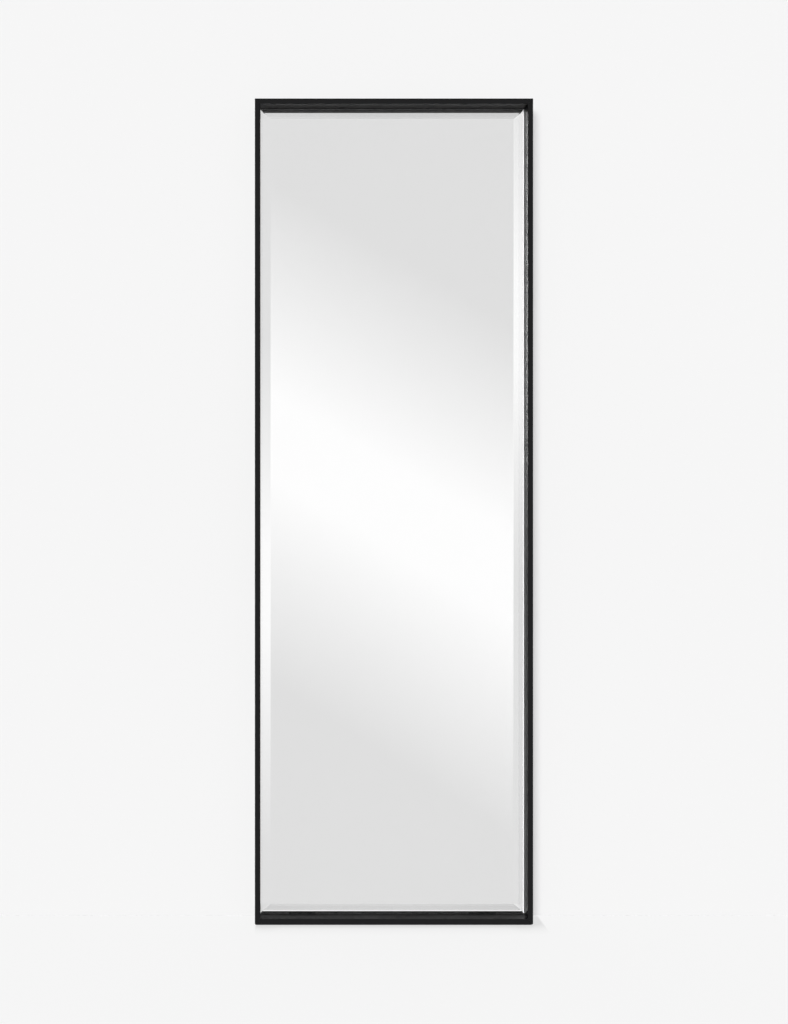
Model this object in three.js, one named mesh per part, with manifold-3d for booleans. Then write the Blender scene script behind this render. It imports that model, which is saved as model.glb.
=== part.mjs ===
// Leaning floor mirror: a tall bevelled mirror set deep inside a thin black metal frame.
// Millimetres. X runs to the right and Z up, and the mirror faces -Y. Z = 0 is the floor.
import * as THREE from 'three';
import { mergeVertices } from 'three/addons/utils/BufferGeometryUtils.js';
import { ConvexGeometry } from 'three/addons/geometries/ConvexGeometry.js';
import Module from 'manifold-3d';

const wasm = await Module();
wasm.setup();

// Driving dimensions. Depths run along Y from the frame's front face to the back.
const frame = { width: 610, height: 1810, face: 11.4, depth: 58, wall: 1.2, mitreGap: 0.3 };
const recess = 32; // the glass lies this far behind the frame's front face
const glass = { thickness: 5, bevel: 22.6, edge: 3, gap: 0.8 };
const film = { thickness: 0.3, margin: 2 };
const tape = { thickness: 1.2, width: 25, length: 1700, spread: 210 };
const board = { thickness: 9, pilotDepth: 7.5 };
const settingBlock = { width: 60, inset: 1, across: 200 };
const cornerKey = { leg: 45, depth: 18, fit: 0.3, screwAt: 34 };
const clip = { width: 26, reach: 20, height: 8.8, thickness: 1.5, bend: 2.5, screwAt: 12, wallScrewAt: 5.7 };
const seatGap = 0.1; // play under each bracket and each screw head
const clipSpread = 620; // from the frame's middle to the upper and lower clips on a stile
const hanger = { across: 240, pivot: 1560, width: 14, thickness: 1.2, bore: 1.8, tail: 45, screwsAt: [27, 38] };
const ring = { wire: 1.5, halfWidth: 9.5, corner: 2.5, side: 9 };
const bumper = { radius: 5, height: 2, chamfer: 0.8, across: 270 };
const floorPad = { width: 80, depth: 46, height: 2, corner: 6, across: 250 };
const panScrew = { head: 2.8, headHeight: 1.8, shank: 1.6, length: 8, slot: 0.8, slotDepth: 0.9 };
const holeRadius = panScrew.shank + 0.3;

// Planes along Y, from front to back.
const frontY = -(frame.depth + bumper.height) / 2;
const rearY = frontY + frame.depth;
const glassY = frontY + recess;
const filmY = glassY + glass.thickness;
const tapeY = filmY + film.thickness;
const boardY = tapeY + tape.thickness;
const boardBackY = boardY + board.thickness;
const keyBackY = rearY - frame.wall - cornerKey.fit;
const cornerScrewY = (boardBackY + rearY) / 2;

// Heights and half sizes.
const floorGap = floorPad.height;
const middleZ = floorGap + frame.height / 2;
const openingHalfWidth = frame.width / 2 - frame.face;
const openingHalfHeight = frame.height / 2 - frame.face;
const paneHalfWidth = openingHalfWidth - glass.gap;
const paneHalfHeight = openingHalfHeight - glass.gap;

const finishes = {
  powderCoat: new THREE.MeshStandardMaterial({ color: 0x26272a, roughness: 0.45, metalness: 0.1 }),
  mirror: new THREE.MeshStandardMaterial({ color: 0xe4e6e6, roughness: 0.02, metalness: 1 }),
  film: new THREE.MeshStandardMaterial({ color: 0x8e9499, roughness: 0.6, metalness: 0 }),
  foam: new THREE.MeshStandardMaterial({ color: 0xdedfdc, roughness: 0.9, metalness: 0 }),
  fibreboard: new THREE.MeshStandardMaterial({ color: 0x8a6f53, roughness: 0.85, metalness: 0 }),
  zinc: new THREE.MeshStandardMaterial({ color: 0xb9bcbf, roughness: 0.35, metalness: 1 }),
  castZinc: new THREE.MeshStandardMaterial({ color: 0x9a9c9f, roughness: 0.55, metalness: 1 }),
  rubber: new THREE.MeshStandardMaterial({ color: 0x1d1d1e, roughness: 0.9, metalness: 0 }),
};

const model = new THREE.Group();

function toSolid(geometry) {
  const bare = geometry.clone();
  bare.deleteAttribute('normal');
  bare.deleteAttribute('uv');
  const merged = mergeVertices(bare, 1e-4);
  const vertProperties = new Float32Array(merged.attributes.position.array);
  const triVerts = new Uint32Array(merged.index.array);
  return new wasm.Manifold(new wasm.Mesh({ numProp: 3, vertProperties, triVerts }));
}

function toGeometry(solid) {
  const mesh = solid.getMesh();
  const shared = new THREE.BufferGeometry();
  shared.setAttribute('position', new THREE.BufferAttribute(mesh.vertProperties, 3));
  shared.setIndex(new THREE.BufferAttribute(mesh.triVerts, 1));
  const faceted = shared.toNonIndexed();
  faceted.computeVertexNormals();
  return faceted;
}

function cut(geometry, cutters) {
  const solid = cutters.reduce((left, cutter) => left.subtract(toSolid(cutter)), toSolid(geometry));
  return toGeometry(solid);
}

// An outline drawn in X and Z, given thickness between two planes along Y.
function slab(outline, front, back, curveSegments = 12) {
  const depth = back - front;
  const geometry = new THREE.ExtrudeGeometry(outline, { depth, bevelEnabled: false, curveSegments });
  return geometry.rotateX(Math.PI / 2).translate(0, back, 0);
}

// A box given by its lowest and highest corners.
function block(low, high) {
  const [w, d, h] = high.map((value, i) => value - low[i]);
  const geometry = new THREE.BoxGeometry(w, d, h);
  return geometry.translate((low[0] + high[0]) / 2, (low[1] + high[1]) / 2, (low[2] + high[2]) / 2);
}

// A drill along X, Y or Z that starts at one coordinate on that axis and ends at another.
function drill(axis, radius, start, end, centre) {
  const geometry = new THREE.CylinderGeometry(radius, radius, Math.abs(end - start), 20);
  const middle = new THREE.Vector3(...centre);
  middle[axis] = (start + end) / 2;
  if (axis === 'x') geometry.rotateZ(Math.PI / 2);
  if (axis === 'z') geometry.rotateX(Math.PI / 2);
  return geometry.translate(middle.x, middle.y, middle.z);
}

function add(parent, name, geometry, finish, position = [0, 0, 0]) {
  const mesh = new THREE.Mesh(geometry, finishes[finish]);
  mesh.name = name;
  mesh.position.set(...position);
  parent.add(mesh);
  return mesh;
}

// Four sides of the frame. Each is drawn along Z with its outer face at X = 0, then turned about Y.
const sides = [
  { name: 'left', member: 'left_stile', length: frame.height, turn: 0, at: [-frame.width / 2, middleZ] },
  { name: 'right', member: 'right_stile', length: frame.height, turn: Math.PI, at: [frame.width / 2, middleZ] },
  { name: 'top', member: 'top_rail', length: frame.width, turn: Math.PI / 2, at: [0, floorGap + frame.height] },
  { name: 'bottom', member: 'bottom_rail', length: frame.width, turn: -Math.PI / 2, at: [0, floorGap] },
];

function sideGroup(side) {
  const group = new THREE.Group();
  group.position.set(side.at[0], 0, side.at[1]);
  group.rotation.y = side.turn;
  model.add(group);
  return group;
}

function clipHeights(length) {
  return length === frame.height ? [clipSpread, 0, -clipSpread] : [0];
}

// Hollow rectangular tube, mitred at both ends and drilled through its inner wall.
function frameMember(length) {
  const half = length / 2 - frame.mitreGap * Math.SQRT1_2;
  const outline = new THREE.Shape([
    new THREE.Vector2(0, -half),
    new THREE.Vector2(frame.face, frame.face - half),
    new THREE.Vector2(frame.face, half - frame.face),
    new THREE.Vector2(0, half),
  ]);
  const { face, wall } = frame;
  const hollow = block([wall, frontY + wall, -length], [face - wall, rearY - wall, length]);
  const cornerHole = length / 2 - cornerKey.screwAt;
  const drillAt = (y, z) => drill('x', holeRadius, face - wall - 1, face + 1, [0, y, z]);
  const holes = [
    ...[-cornerHole, cornerHole].map((z) => drillAt(cornerScrewY, z)),
    ...clipHeights(length).map((z) => drillAt(boardBackY + seatGap + clip.wallScrewAt, z)),
  ];
  return cut(slab(outline, frontY, rearY), [hollow, ...holes]);
}

// Pan-head screw along +Y: the head's flat underside is at Y = 0 and its cross slot faces +Y.
function screwGeometry() {
  const { head, headHeight, shank, length, slot, slotDepth } = panScrew;
  const profile = [
    [0, -length], [shank * 0.35, -length], [shank, 1.5 - length], [shank, 0],
    [head, 0], [head, headHeight * 0.45], [head * 0.72, headHeight * 0.9], [0, headHeight],
  ].map(([x, y]) => new THREE.Vector2(x, y));
  const arm = head * 0.6;
  const slotFloor = headHeight - slotDepth;
  const slots = [
    block([-arm, slotFloor, -slot / 2], [arm, headHeight + 1, slot / 2]),
    block([-slot / 2, slotFloor, -arm], [slot / 2, headHeight + 1, arm]),
  ];
  return cut(new THREE.LatheGeometry(profile, 16), slots);
}

const screw = screwGeometry();

// A screw whose head stands towards the named direction.
function addScrew(parent, name, position, towards) {
  const mesh = add(parent, name, screw, 'zinc', position);
  if (towards === 'x') mesh.rotation.z = -Math.PI / 2;
  if (towards === 'z') mesh.rotation.x = Math.PI / 2;
  return mesh;
}

// L-shaped key that slides into both tube ends at a corner, with a screw through each leg.
function cornerKeyGeometry() {
  const near = frame.wall + cornerKey.fit;
  const far = frame.face - frame.wall - cornerKey.fit;
  const { leg, screwAt } = cornerKey;
  const corners = [[near, near], [leg, near], [leg, far], [far, far], [far, leg], [near, leg]];
  const outline = new THREE.Shape(corners.map(([x, z]) => new THREE.Vector2(x, z)));
  return cut(slab(outline, keyBackY - cornerKey.depth, keyBackY), [
    drill('x', holeRadius, near - 1, far + 1, [0, cornerScrewY, screwAt]),
    drill('z', holeRadius, near - 1, far + 1, [screwAt, cornerScrewY, 0]),
  ]);
}

function addCorners() {
  const key = cornerKeyGeometry();
  const seat = frame.face + seatGap;
  const corners = [
    { name: 'bottom_left', turn: 0, sx: -1, z: floorGap, legs: ['stile', 'rail'] },
    { name: 'bottom_right', turn: -Math.PI / 2, sx: 1, z: floorGap, legs: ['rail', 'stile'] },
    { name: 'top_right', turn: Math.PI, sx: 1, z: floorGap + frame.height, legs: ['stile', 'rail'] },
    { name: 'top_left', turn: Math.PI / 2, sx: -1, z: floorGap + frame.height, legs: ['rail', 'stile'] },
  ];
  for (const corner of corners) {
    const group = new THREE.Group();
    group.position.set((corner.sx * frame.width) / 2, 0, corner.z);
    group.rotation.y = corner.turn;
    model.add(group);
    const [upright, level] = corner.legs;
    add(group, `corner_key_${corner.name}`, key, 'castZinc');
    addScrew(group, `corner_screw_${corner.name}_${upright}`, [seat, cornerScrewY, cornerKey.screwAt], 'x');
    addScrew(group, `corner_screw_${corner.name}_${level}`, [cornerKey.screwAt, cornerScrewY, seat], 'z');
  }
}

// Mirror glass with a wide polished bevel on its front, meeting a thin upright edge.
function glassGeometry() {
  const layers = [
    { y: filmY, inset: 0 },
    { y: filmY - glass.edge, inset: 0 },
    { y: glassY, inset: glass.bevel },
  ];
  const points = layers.flatMap(({ y, inset }) => [-1, 1].flatMap((sx) => [-1, 1].map((sz) => {
    return new THREE.Vector3(sx * (paneHalfWidth - inset), y, middleZ + sz * (paneHalfHeight - inset));
  })));
  return new ConvexGeometry(points);
}

function addPane() {
  add(model, 'mirror_glass', glassGeometry(), 'mirror');
  const filmX = paneHalfWidth - film.margin;
  const filmZ = paneHalfHeight - film.margin;
  add(model, 'safety_film', block([-filmX, filmY, middleZ - filmZ], [filmX, tapeY, middleZ + filmZ]), 'film');
  ['left', 'centre', 'right'].forEach((name, i) => {
    const x = (i - 1) * tape.spread;
    const strip = block(
      [x - tape.width / 2, tapeY, middleZ - tape.length / 2],
      [x + tape.width / 2, boardY, middleZ + tape.length / 2],
    );
    add(model, `mounting_tape_${name}`, strip, 'foam');
  });
}

// Backing board with a blind pilot hole for every clip and hanger screw.
function addBoard() {
  const { screwAt } = clip;
  const stileX = openingHalfWidth - screwAt;
  const railZ = openingHalfHeight - screwAt;
  const clipHoles = [
    ...clipHeights(frame.height).flatMap((z) => [[-stileX, middleZ + z], [stileX, middleZ + z]]),
    [0, middleZ - railZ], [0, middleZ + railZ],
  ];
  const hangerHoles = hanger.screwsAt.flatMap((down) => [-1, 1].map((sx) => {
    return [sx * hanger.across, hanger.pivot - down];
  }));
  const drills = [...clipHoles, ...hangerHoles].map(([x, z]) => {
    return drill('y', holeRadius, boardBackY - board.pilotDepth, boardBackY + 1, [x, 0, z]);
  });
  const sheet = block(
    [-paneHalfWidth, boardY, middleZ - paneHalfHeight],
    [paneHalfWidth, boardBackY, middleZ + paneHalfHeight],
  );
  add(model, 'backing_board', cut(sheet, drills), 'fibreboard');
}

// Rubber blocks on the bottom rail that carry the glass and the board.
function addSettingBlocks() {
  const { width, inset, across } = settingBlock;
  const low = floorGap + frame.face;
  for (const [name, sx] of [['left', -1], ['right', 1]]) {
    const x = sx * across;
    const pad = block(
      [x - width / 2, glassY + inset, low],
      [x + width / 2, boardBackY - inset, low + glass.gap],
    );
    add(model, `setting_block_${name}`, pad, 'rubber');
  }
}

// Folded bracket: one leg on the tube's inner wall, the other on the back of the board.
function clipGeometry() {
  const { width, reach, height, thickness, bend, screwAt, wallScrewAt } = clip;
  const inner = bend - thickness;
  const outline = new THREE.Shape();
  outline.moveTo(0, height);
  outline.lineTo(0, bend);
  outline.absarc(bend, bend, bend, Math.PI, Math.PI * 1.5, false);
  outline.lineTo(reach, 0);
  outline.lineTo(reach, thickness);
  outline.lineTo(bend, thickness);
  outline.absarc(bend, bend, inner, Math.PI * 1.5, Math.PI, true);
  outline.lineTo(thickness, height);
  outline.closePath();
  const folded = new THREE.ExtrudeGeometry(outline, { depth: width, bevelEnabled: false, curveSegments: 4 });
  folded.translate(0, 0, -width / 2);
  return cut(folded, [
    drill('x', holeRadius, -1, thickness + 1, [0, wallScrewAt, 0]),
    drill('y', holeRadius, -1, thickness + 1, [screwAt - seatGap, 0, 0]),
  ]);
}

function addFrame() {
  const bracket = clipGeometry();
  const members = new Map([frame.height, frame.width].map((length) => [length, frameMember(length)]));
  const { thickness, screwAt, wallScrewAt } = clip;
  const seat = seatGap + thickness + seatGap;
  for (const side of sides) {
    const group = sideGroup(side);
    add(group, side.member, members.get(side.length), 'powderCoat');
    clipHeights(side.length).forEach((z, i) => {
      const label = side.length === frame.height ? `${side.name}_${i + 1}` : side.name;
      const wallX = frame.face;
      add(group, `panel_clip_${label}`, bracket, 'zinc', [wallX + seatGap, boardBackY + seatGap, z]);
      addScrew(group, `clip_wall_screw_${label}`, [wallX + seat, boardBackY + seatGap + wallScrewAt, z], 'x');
      addScrew(group, `clip_board_screw_${label}`, [wallX + screwAt, boardBackY + seat, z], 'y');
    });
  }
}

// Hanger strap: a plate that curls into a barrel round the ring's straight side.
function strapGeometry() {
  const { width, thickness, bore, tail, screwsAt } = hanger;
  const barrel = bore + thickness;
  const meet = Math.acos((thickness - barrel) / barrel);
  const profile = new THREE.Shape();
  profile.moveTo(0, -tail);
  profile.lineTo(0, 0);
  profile.absarc(barrel, 0, barrel, Math.PI, -meet, true);
  profile.lineTo(thickness, -tail);
  profile.closePath();
  const eye = new THREE.Path();
  eye.absarc(barrel, 0, bore, 0, Math.PI * 2, false);
  profile.holes.push(eye);
  const curled = new THREE.ExtrudeGeometry(profile, { depth: width, bevelEnabled: false, curveSegments: 12 });
  curled.applyMatrix4(new THREE.Matrix4().set(0, 0, 1, -width / 2, 1, 0, 0, 0, 0, 1, 0, 0, 0, 0, 0, 1));

  const half = width / 2;
  const outline = new THREE.Shape();
  outline.moveTo(-half, barrel + 1);
  outline.lineTo(-half, half - tail);
  outline.absarc(0, half - tail, half, Math.PI, Math.PI * 2, false);
  outline.lineTo(half, barrel + 1);
  outline.closePath();
  const rounded = toSolid(curled).intersect(toSolid(slab(outline, -1, 2 * barrel + 1, 12)));
  return cut(toGeometry(rounded), screwsAt.map((down) => {
    return drill('y', holeRadius, -1, thickness + 1, [0, 0, -down]);
  }));
}

// The ring's centre line: a D whose straight side lies in the strap's barrel.
class RingCurve extends THREE.Curve {
  constructor() {
    super();
    const { halfWidth, corner, side } = ring;
    this.loop = new THREE.Path();
    this.loop.moveTo(0, 0);
    this.loop.lineTo(corner - halfWidth, 0);
    this.loop.absarc(corner - halfWidth, -corner, corner, Math.PI / 2, Math.PI, false);
    this.loop.lineTo(-halfWidth, -side);
    this.loop.absarc(0, -side, halfWidth, Math.PI, Math.PI * 2, false);
    this.loop.lineTo(halfWidth, -corner);
    this.loop.absarc(halfWidth - corner, -corner, corner, 0, Math.PI / 2, false);
    this.loop.lineTo(0, 0);
  }

  getPoint(t, target = new THREE.Vector3()) {
    const point = this.loop.getPoint(t % 1);
    return target.set(point.x, 0, point.y);
  }
}

function addHangers() {
  const strap = strapGeometry();
  const loop = new THREE.TubeGeometry(new RingCurve(), 56, ring.wire, 12, true);
  const pivotY = boardBackY + hanger.bore + hanger.thickness;
  for (const [name, sx] of [['left', -1], ['right', 1]]) {
    const x = sx * hanger.across;
    add(model, `hanger_strap_${name}`, strap, 'zinc', [x, boardBackY, hanger.pivot]);
    add(model, `hanger_ring_${name}`, loop, 'zinc', [x, pivotY, hanger.pivot]);
    ['upper', 'lower'].forEach((place, i) => {
      const position = [x, boardBackY + hanger.thickness + seatGap, hanger.pivot - hanger.screwsAt[i]];
      addScrew(model, `hanger_screw_${name}_${place}`, position, 'y');
    });
  }
}

function roundedRectangle(width, depth, radius) {
  const x = width / 2 - radius;
  const y = depth / 2 - radius;
  const outline = new THREE.Shape();
  [[x, -y], [x, y], [-x, y], [-x, -y]].forEach(([cx, cy], i) => {
    const start = ((i - 1) * Math.PI) / 2;
    outline.absarc(cx, cy, radius, start, start + Math.PI / 2, false);
  });
  return outline;
}

// Soft pieces that meet the wall and the floor.
function addFeet() {
  const { radius, height, chamfer } = bumper;
  const profile = [[0, 0], [radius, 0], [radius, height - chamfer], [radius - chamfer, height], [0, height]];
  const button = new THREE.LatheGeometry(profile.map(([x, y]) => new THREE.Vector2(x, y)), 24);
  const { width, depth, corner } = floorPad;
  const outline = roundedRectangle(width, depth, corner);
  const pad = new THREE.ExtrudeGeometry(outline, { depth: floorGap, bevelEnabled: false, curveSegments: 6 });
  const topZ = floorGap + frame.height - frame.face / 2;
  const padY = (frontY + rearY) / 2;
  for (const [name, sx] of [['left', -1], ['right', 1]]) {
    add(model, `wall_bumper_${name}`, button, 'rubber', [sx * bumper.across, rearY, topZ]);
    add(model, `floor_pad_${name}`, pad, 'rubber', [sx * floorPad.across, padY, 0]);
  }
}

addFrame();
addCorners();
addPane();
addBoard();
addSettingBlocks();
addHangers();
addFeet();

export default model;
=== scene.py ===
import math

import bmesh
import bpy
from mathutils import Euler, Matrix, Vector


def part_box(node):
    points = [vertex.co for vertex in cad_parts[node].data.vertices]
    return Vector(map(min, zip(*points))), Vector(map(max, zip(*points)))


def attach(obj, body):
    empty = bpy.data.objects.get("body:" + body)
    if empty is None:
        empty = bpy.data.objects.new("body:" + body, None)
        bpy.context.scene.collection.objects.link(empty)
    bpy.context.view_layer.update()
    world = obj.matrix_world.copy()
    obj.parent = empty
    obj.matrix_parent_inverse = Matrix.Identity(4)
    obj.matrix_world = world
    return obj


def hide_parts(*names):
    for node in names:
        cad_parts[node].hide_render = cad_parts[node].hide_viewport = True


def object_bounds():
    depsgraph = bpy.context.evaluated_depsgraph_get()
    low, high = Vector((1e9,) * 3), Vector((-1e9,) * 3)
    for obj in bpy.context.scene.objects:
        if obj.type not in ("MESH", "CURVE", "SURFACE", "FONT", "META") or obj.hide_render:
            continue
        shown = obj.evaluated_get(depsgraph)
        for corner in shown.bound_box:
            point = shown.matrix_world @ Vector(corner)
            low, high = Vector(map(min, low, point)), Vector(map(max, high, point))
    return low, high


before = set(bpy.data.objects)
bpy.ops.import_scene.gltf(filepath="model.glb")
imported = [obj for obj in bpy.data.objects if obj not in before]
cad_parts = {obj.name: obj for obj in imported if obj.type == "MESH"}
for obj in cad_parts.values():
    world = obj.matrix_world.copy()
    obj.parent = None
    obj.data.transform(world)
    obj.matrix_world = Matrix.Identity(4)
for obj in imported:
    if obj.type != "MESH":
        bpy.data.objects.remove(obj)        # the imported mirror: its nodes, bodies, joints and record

cadBox = [list(corner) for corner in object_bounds()]
mm = 0.001


def toLinear(hexColour):
    channels = [int(hexColour[i:i + 2], 16) / 255 for i in (1, 3, 5)]
    return tuple(c / 12.92 if c <= 0.04045 else ((c + 0.055) / 1.055) ** 2.4 for c in channels) + (1.0,)


def addNode(tree, kind, inputs=None, **settings):
    # inputs take plain values or another node's output; a colour mix has its two colours at 6 and 7
    node = tree.nodes.new(kind)
    for name, value in settings.items():
        setattr(node, name, value)
    for key, value in (inputs or {}).items():
        if isinstance(value, bpy.types.NodeSocket):
            tree.links.new(value, node.inputs[key])
        else:
            node.inputs[key].default_value = value
    return node


def newMaterial(name, values):    # a Principled material, and the point that its patterns start from
    material = bpy.data.materials.new(name)
    material.use_nodes = True
    tree = material.node_tree
    shader = tree.nodes["Principled BSDF"]
    for key, value in values.items():
        shader.inputs[key].default_value = value
    return material, tree, shader, addNode(tree, "ShaderNodeTexCoord").outputs["Object"]


camera = {
    "distance": 2.53,    # from the frame's front face
    "left": 0.29,        # the lens is in line with the left stile, so that stile's inner wall hides
    "height": 0.9055,
    "lens": 40.58,
    "sensor": 36,        # both in millimetres
    "shift": 0.1292,
}


def addCamera():
    data = bpy.data.cameras.new("camera")
    data.lens = camera["lens"]
    data.sensor_width = camera["sensor"]
    data.shift_x = camera["shift"]
    eye = bpy.data.objects.new("camera", data)
    eye.location = (-camera["left"], cadBox[0][1] - camera["distance"], camera["height"])
    eye.rotation_euler = (math.pi / 2, 0, 0)
    bpy.context.scene.collection.objects.link(eye)
    bpy.context.scene.camera = eye


def powderCoat():    # oven-cured polyester powder on steel: deep satin black with a faint orange peel
    material, tree, shader, point = newMaterial("satinBlackPowderCoat", {"Specular IOR Level": 0.15})
    cloud = addNode(tree, "ShaderNodeTexNoise", {"Vector": point, "Scale": 1 / (60 * mm), "Detail": 2.0})
    colour = addNode(tree, "ShaderNodeMix", {
        0: cloud.outputs[0], 6: toLinear("#0D0D0E"), 7: toLinear("#121213"),
    }, data_type="RGBA")
    rubbed = addNode(tree, "ShaderNodeMapRange", {"Value": cloud.outputs[0], "To Min": 0.32, "To Max": 0.42})
    peel = addNode(tree, "ShaderNodeTexNoise", {"Vector": point, "Scale": 1 / (1.5 * mm), "Detail": 1.0})
    # the real peel is 0.8 mm across, and is drawn at 1.5 mm so that it shows
    relief = addNode(tree, "ShaderNodeBump", {"Height": peel.outputs[0], "Distance": 0.004 * mm})
    tree.links.new(colour.outputs[2], shader.inputs["Base Color"])
    tree.links.new(rubbed.outputs[0], shader.inputs["Roughness"])
    tree.links.new(relief.outputs[0], shader.inputs["Normal"])
    return material


def floatGlass():    # polished float glass: clear, and sharp in every reflection
    return newMaterial("polishedFloatGlass", {
        "Roughness": 0.0, "IOR": 1.52, "Transmission Weight": 1.0, "Base Color": toLinear("#FFFFFF"),
    })[0]


def groundGlassPaintedGlow():    # stone-ground edge of the pane: a fine white frost, with a painted glow (its emission) that lifts it into a bright highlight line
    material, tree, shader, point = newMaterial("groundGlassEdgePaintedGlow", {
        # painted glow: the emission brightens the frost into a highlight line along the pane's edge
        "Roughness": 0.9, "Emission Color": (1, 1, 1, 1), "Emission Strength": 0.2,
    })
    grain = addNode(tree, "ShaderNodeTexNoise", {"Vector": point, "Scale": 1 / (0.4 * mm), "Detail": 2.0})
    colour = addNode(tree, "ShaderNodeMix", {
        0: grain.outputs[0], 6: toLinear("#F6F6F6"), 7: toLinear("#FDFDFD"),
    }, data_type="RGBA")
    tree.links.new(colour.outputs[2], shader.inputs["Base Color"])
    return material


def silvering():    # silver laid on the back of the glass: neutral, and a touch darker than the scene, with painted shade on the strips behind the bevels
    material, tree, shader, point = newMaterial("silverOnGlass", {"Metallic": 1.0, "Roughness": 0.0})
    tone = addNode(tree, "ShaderNodeTexNoise", {"Vector": point, "Scale": 1 / (400 * mm), "Detail": 1.0})
    paintedShade = addNode(tree, "ShaderNodeAttribute", attribute_name="paintedShade")    # painted shade that dims the strips
    colour = addNode(tree, "ShaderNodeMix", {
        0: tone.outputs[0], 6: toLinear("#E6E6E6"), 7: toLinear("#E8E8E8"),
    }, data_type="RGBA")
    # the silver's colour darkened by the painted shade
    dimmed = addNode(tree, "ShaderNodeMix", {
        0: 1.0, 6: colour.outputs[2], 7: paintedShade.outputs["Color"],
    }, data_type="RGBA", blend_type="MULTIPLY")
    facing = addNode(tree, "ShaderNodeNewGeometry")
    lean = addNode(tree, "ShaderNodeAttribute", attribute_name="lean")    # tilts the strips
    leaned = addNode(tree, "ShaderNodeVectorMath", {0: facing.outputs["Normal"], 1: lean.outputs["Vector"]},
                     operation="ADD")
    normal = addNode(tree, "ShaderNodeVectorMath", {0: leaned.outputs[0]}, operation="NORMALIZE")
    tree.links.new(dimmed.outputs[2], shader.inputs["Base Color"])
    tree.links.new(normal.outputs[0], shader.inputs["Normal"])
    return material


def safetyFilm():    # polyethylene film that holds broken glass together: milky grey, faintly crinkled
    material, tree, shader, point = newMaterial("polyethyleneFilm", {"Roughness": 0.55})
    crinkle = addNode(tree, "ShaderNodeTexNoise", {"Vector": point, "Scale": 1 / (12 * mm), "Detail": 4.0})
    colour = addNode(tree, "ShaderNodeMix", {
        0: crinkle.outputs[0], 6: toLinear("#838A90"), 7: toLinear("#9AA1A6"),
    }, data_type="RGBA")
    relief = addNode(tree, "ShaderNodeBump", {"Height": crinkle.outputs[0], "Distance": 0.1 * mm})
    tree.links.new(colour.outputs[2], shader.inputs["Base Color"])
    tree.links.new(relief.outputs[0], shader.inputs["Normal"])
    return material


def foamTape():    # closed-cell polyethylene foam: off-white, with fine pores
    material, tree, shader, point = newMaterial("closedCellFoam", {"Roughness": 0.9})
    pores = addNode(tree, "ShaderNodeTexVoronoi", {"Vector": point, "Scale": 1 / (0.7 * mm)})
    colour = addNode(tree, "ShaderNodeMix", {
        0: pores.outputs[0], 6: toLinear("#C9CAC6"), 7: toLinear("#ECEDEA"),
    }, data_type="RGBA")
    relief = addNode(tree, "ShaderNodeBump", {"Height": pores.outputs[0], "Distance": 0.15 * mm})
    tree.links.new(colour.outputs[2], shader.inputs["Base Color"])
    tree.links.new(relief.outputs[0], shader.inputs["Normal"])
    return material


def fibreboard():    # sanded medium-density fibreboard: a matt warm brown felt of short fibres, with specks
    material, tree, shader, point = newMaterial("sandedFibreboard", {
        "Roughness": 0.85, "Specular IOR Level": 0.3,
    })
    cloud = addNode(tree, "ShaderNodeTexNoise", {"Vector": point, "Scale": 1 / (110 * mm), "Detail": 3.0})
    ground = addNode(tree, "ShaderNodeMix", {
        0: cloud.outputs[0], 6: toLinear("#A3856A"), 7: toLinear("#B3967A"),
    }, data_type="RGBA")
    laid = addNode(tree, "ShaderNodeMapping", {
        "Vector": point, "Rotation": (0, 0.6, 0), "Scale": (1.0, 1.0, 0.45),
    })
    fibres = addNode(tree, "ShaderNodeTexNoise", {
        "Vector": laid.outputs[0], "Scale": 1 / (0.9 * mm), "Detail": 5.0, "Distortion": 1.5,
    })
    felted = addNode(tree, "ShaderNodeMapRange", {
        "Value": fibres.outputs[0], "From Min": 0.35, "From Max": 0.7, "To Max": 0.4,
    })
    woven = addNode(tree, "ShaderNodeMix", {
        0: felted.outputs[0], 6: ground.outputs[2], 7: toLinear("#846850"),
    }, data_type="RGBA")
    # specks half a millimetre across are drawn at 0.8 mm so that they show
    specks = addNode(tree, "ShaderNodeTexVoronoi", {"Vector": point, "Scale": 1 / (5 * mm)})
    dots = addNode(tree, "ShaderNodeMapRange", {
        "Value": specks.outputs[0], "From Min": 0.04, "From Max": 0.1, "To Min": 0.45, "To Max": 0.0,
    })
    colour = addNode(tree, "ShaderNodeMix", {
        0: dots.outputs[0], 6: woven.outputs[2], 7: toLinear("#5E4632"),
    }, data_type="RGBA")
    relief = addNode(tree, "ShaderNodeBump", {"Height": fibres.outputs[0], "Distance": 0.03 * mm})
    tree.links.new(colour.outputs[2], shader.inputs["Base Color"])
    tree.links.new(relief.outputs[0], shader.inputs["Normal"])
    return material


def zincPlate():    # bright zinc on pressed steel: cool silver, a little cloudy, with the marks of the press
    material, tree, shader, point = newMaterial("brightZincPlate", {"Metallic": 1.0})
    cloud = addNode(tree, "ShaderNodeTexNoise", {"Vector": point, "Scale": 1 / (5 * mm), "Detail": 3.0})
    colour = addNode(tree, "ShaderNodeMix", {
        0: cloud.outputs[0], 6: toLinear("#989CA0"), 7: toLinear("#D0D3D5"),
    }, data_type="RGBA")
    drawn = addNode(tree, "ShaderNodeMapping", {"Vector": point, "Scale": (1.0, 1.0, 0.06)})
    marks = addNode(tree, "ShaderNodeTexNoise", {
        "Vector": drawn.outputs[0], "Scale": 1 / (0.5 * mm), "Detail": 2.0,
    })
    dulled = addNode(tree, "ShaderNodeMapRange", {"Value": marks.outputs[0], "To Min": 0.15, "To Max": 0.4})
    relief = addNode(tree, "ShaderNodeBump", {"Height": marks.outputs[0], "Distance": 0.02 * mm})
    tree.links.new(colour.outputs[2], shader.inputs["Base Color"])
    tree.links.new(dulled.outputs[0], shader.inputs["Roughness"])
    tree.links.new(relief.outputs[0], shader.inputs["Normal"])
    return material


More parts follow.
